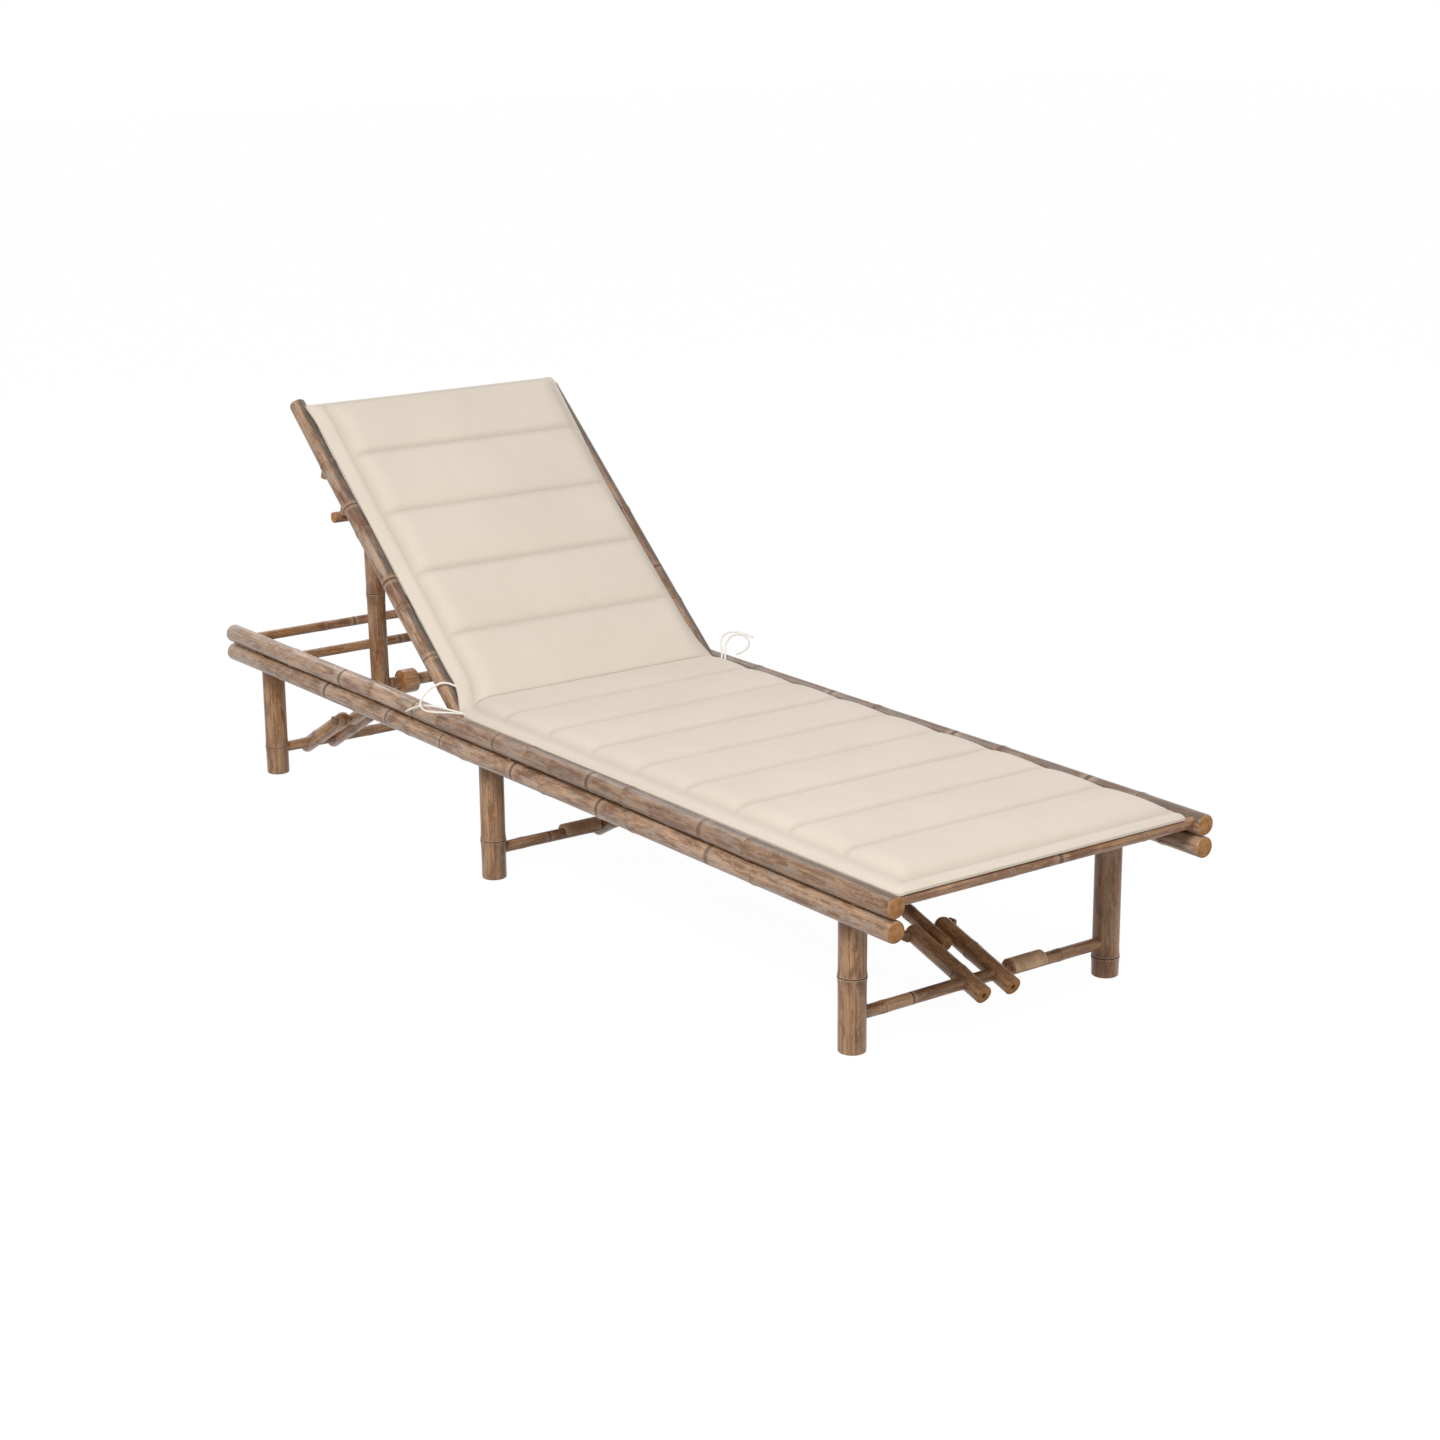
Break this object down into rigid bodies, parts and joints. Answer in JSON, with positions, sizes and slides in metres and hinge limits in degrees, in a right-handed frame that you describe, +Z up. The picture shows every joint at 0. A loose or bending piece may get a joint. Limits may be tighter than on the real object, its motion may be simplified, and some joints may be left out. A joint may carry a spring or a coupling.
{
  "type": "sun lounger",
  "caption": "Low bamboo pole sun lounger with a propped reclining back, folding legs on knee braces and a quilted tie-on pad.",
  "frame": {"origin": "on the floor, under the middle of the side rails' box", "axes": "+X to the right across the lounger, +Y from the foot end to the head end, +Z up"},
  "size_m": [0.6763, 2, 0.7629],
  "materials": {
    "bamboo_pole": "weathered semi-gloss bamboo skin",
    "bamboo_slat": "split bamboo",
    "pin_wood": "turned wood",
    "pad_fabric": "plain woven cream cover",
    "tie_cord": "off-white round cord"
  },
  "bodies": {
    "root": {"upper_rail_left": "bamboo_pole", "lower_rail_left": "bamboo_pole", "upper_rail_right": "bamboo_pole", "lower_rail_right": "bamboo_pole", "rail_dowels": "pin_wood", "seat_rungs": "bamboo_pole", "foot_cross_rail": "bamboo_pole", "inner_rear_pole": "bamboo_pole", "outer_rear_pole": "bamboo_pole", "back_hinge_rod": "bamboo_pole", "front_brace_bar": "bamboo_pole", "middle_brace_bar": "bamboo_pole", "prop_bar": "bamboo_pole", "seat_slats": "bamboo_slat", "leg_hinge_pins": "pin_wood", "seat_pad": "pad_fabric", "left_tie_tail": "tie_cord", "left_tie_loop": "tie_cord", "right_tie_tail": "tie_cord", "right_tie_curl": "tie_cord"},
    "backrest": {"back_side_pole_left": "bamboo_pole", "back_side_pole_right": "bamboo_pole", "back_pegs_left": "pin_wood", "back_pegs_right": "pin_wood", "back_top_bar": "bamboo_pole", "back_rungs": "bamboo_pole", "back_slats": "bamboo_slat", "back_pad": "pad_fabric"},
    "prop": {"prop_pole_left": "bamboo_pole", "prop_pole_right": "bamboo_pole", "prop_rod": "bamboo_pole"},
    "front_legs": {"front_leg_left": "bamboo_pole", "front_leg_right": "bamboo_pole", "front_stretcher": "bamboo_pole", "front_stretcher_clip": "bamboo_pole"},
    "front_cheeks": {"front_brace_cheek_left": "bamboo_pole", "front_brace_cheek_right": "bamboo_pole", "front_knee_pins": "pin_wood"},
    "front_link": {"front_brace_link": "bamboo_pole", "front_knee_core": "pin_wood"},
    "middle_legs": {"middle_leg_left": "bamboo_pole", "middle_leg_right": "bamboo_pole", "middle_stretcher": "bamboo_pole", "middle_stretcher_clip": "bamboo_pole"},
    "middle_cheeks": {"middle_brace_cheek_left": "bamboo_pole", "middle_brace_cheek_right": "bamboo_pole", "middle_knee_pins": "pin_wood"},
    "middle_link": {"middle_brace_link": "bamboo_pole", "middle_knee_core": "pin_wood"},
    "rear_legs": {"rear_leg_left": "bamboo_pole", "rear_leg_right": "bamboo_pole", "rear_stretcher": "bamboo_pole"},
    "rear_cheeks": {"rear_brace_cheek_left": "bamboo_pole", "rear_brace_cheek_right": "bamboo_pole", "rear_knee_pins": "pin_wood"},
    "rear_link": {"rear_brace_link": "bamboo_pole", "rear_knee_core": "pin_wood"}
  },
  "joints": [
    {"name": "back_recline", "type": "hinge", "parent": "root", "child": "backrest", "pos_m": [0, 0.209, 0.272], "axis": [-1, 0, 0], "range_deg": [0, 30.5]},
    {"name": "prop_swing", "type": "hinge", "parent": "root", "child": "prop", "pos_m": [0, 0.604, 0.238], "axis": [-1, 0, 0], "range_deg": [0, 67.4]},
    {"name": "front_leg_fold", "type": "hinge", "parent": "root", "child": "front_legs", "pos_m": [0, -0.844, 0.236], "axis": [1, 0, 0], "range_deg": [0, 88]},
    {"name": "front_cheek_turn", "type": "hinge", "parent": "front_legs", "child": "front_cheeks", "pos_m": [0, -0.844, 0.055], "axis": [-1, 0, 0], "range_deg": [0, 199.1]},
    {"name": "front_link_swing", "type": "hinge", "parent": "root", "child": "front_link", "pos_m": [0, -0.262, 0.238], "axis": [1, 0, 0], "range_deg": [0, 12.5]},
    {"name": "middle_leg_fold", "type": "hinge", "parent": "root", "child": "middle_legs", "pos_m": [0, 0.142, 0.236], "axis": [-1, 0, 0], "range_deg": [0, 88]},
    {"name": "middle_cheek_turn", "type": "hinge", "parent": "middle_legs", "child": "middle_cheeks", "pos_m": [0, 0.142, 0.05], "axis": [1, 0, 0], "range_deg": [0, 207.3]},
    {"name": "middle_link_swing", "type": "hinge", "parent": "root", "child": "middle_link", "pos_m": [0, -0.195, 0.238], "axis": [-1, 0, 0], "range_deg": [0, 21.3]},
    {"name": "rear_leg_fold", "type": "hinge", "parent": "root", "child": "rear_legs", "pos_m": [0, 0.938, 0.236], "axis": [-1, 0, 0], "range_deg": [0, 88]},
    {"name": "rear_cheek_turn", "type": "hinge", "parent": "rear_legs", "child": "rear_cheeks", "pos_m": [0, 0.938, 0.048], "axis": [1, 0, 0], "range_deg": [0, 206.6]},
    {"name": "rear_link_swing", "type": "hinge", "parent": "root", "child": "rear_link", "pos_m": [0, 0.604, 0.238], "axis": [-1, 0, 0], "range_deg": [0, 23.1]}
  ],
  "couplings": [
    {"joint": "prop_swing", "follows": "back_recline", "ratio": 2.2066},
    {"joint": "front_cheek_turn", "follows": "front_leg_fold", "ratio": 2.26},
    {"joint": "front_link_swing", "follows": "front_leg_fold", "ratio": 0.14},
    {"joint": "middle_cheek_turn", "follows": "middle_leg_fold", "ratio": 2.353},
    {"joint": "middle_link_swing", "follows": "middle_leg_fold", "ratio": 0.24},
    {"joint": "rear_cheek_turn", "follows": "rear_leg_fold", "ratio": 2.346},
    {"joint": "rear_link_swing", "follows": "rear_leg_fold", "ratio": 0.26}
  ]
}
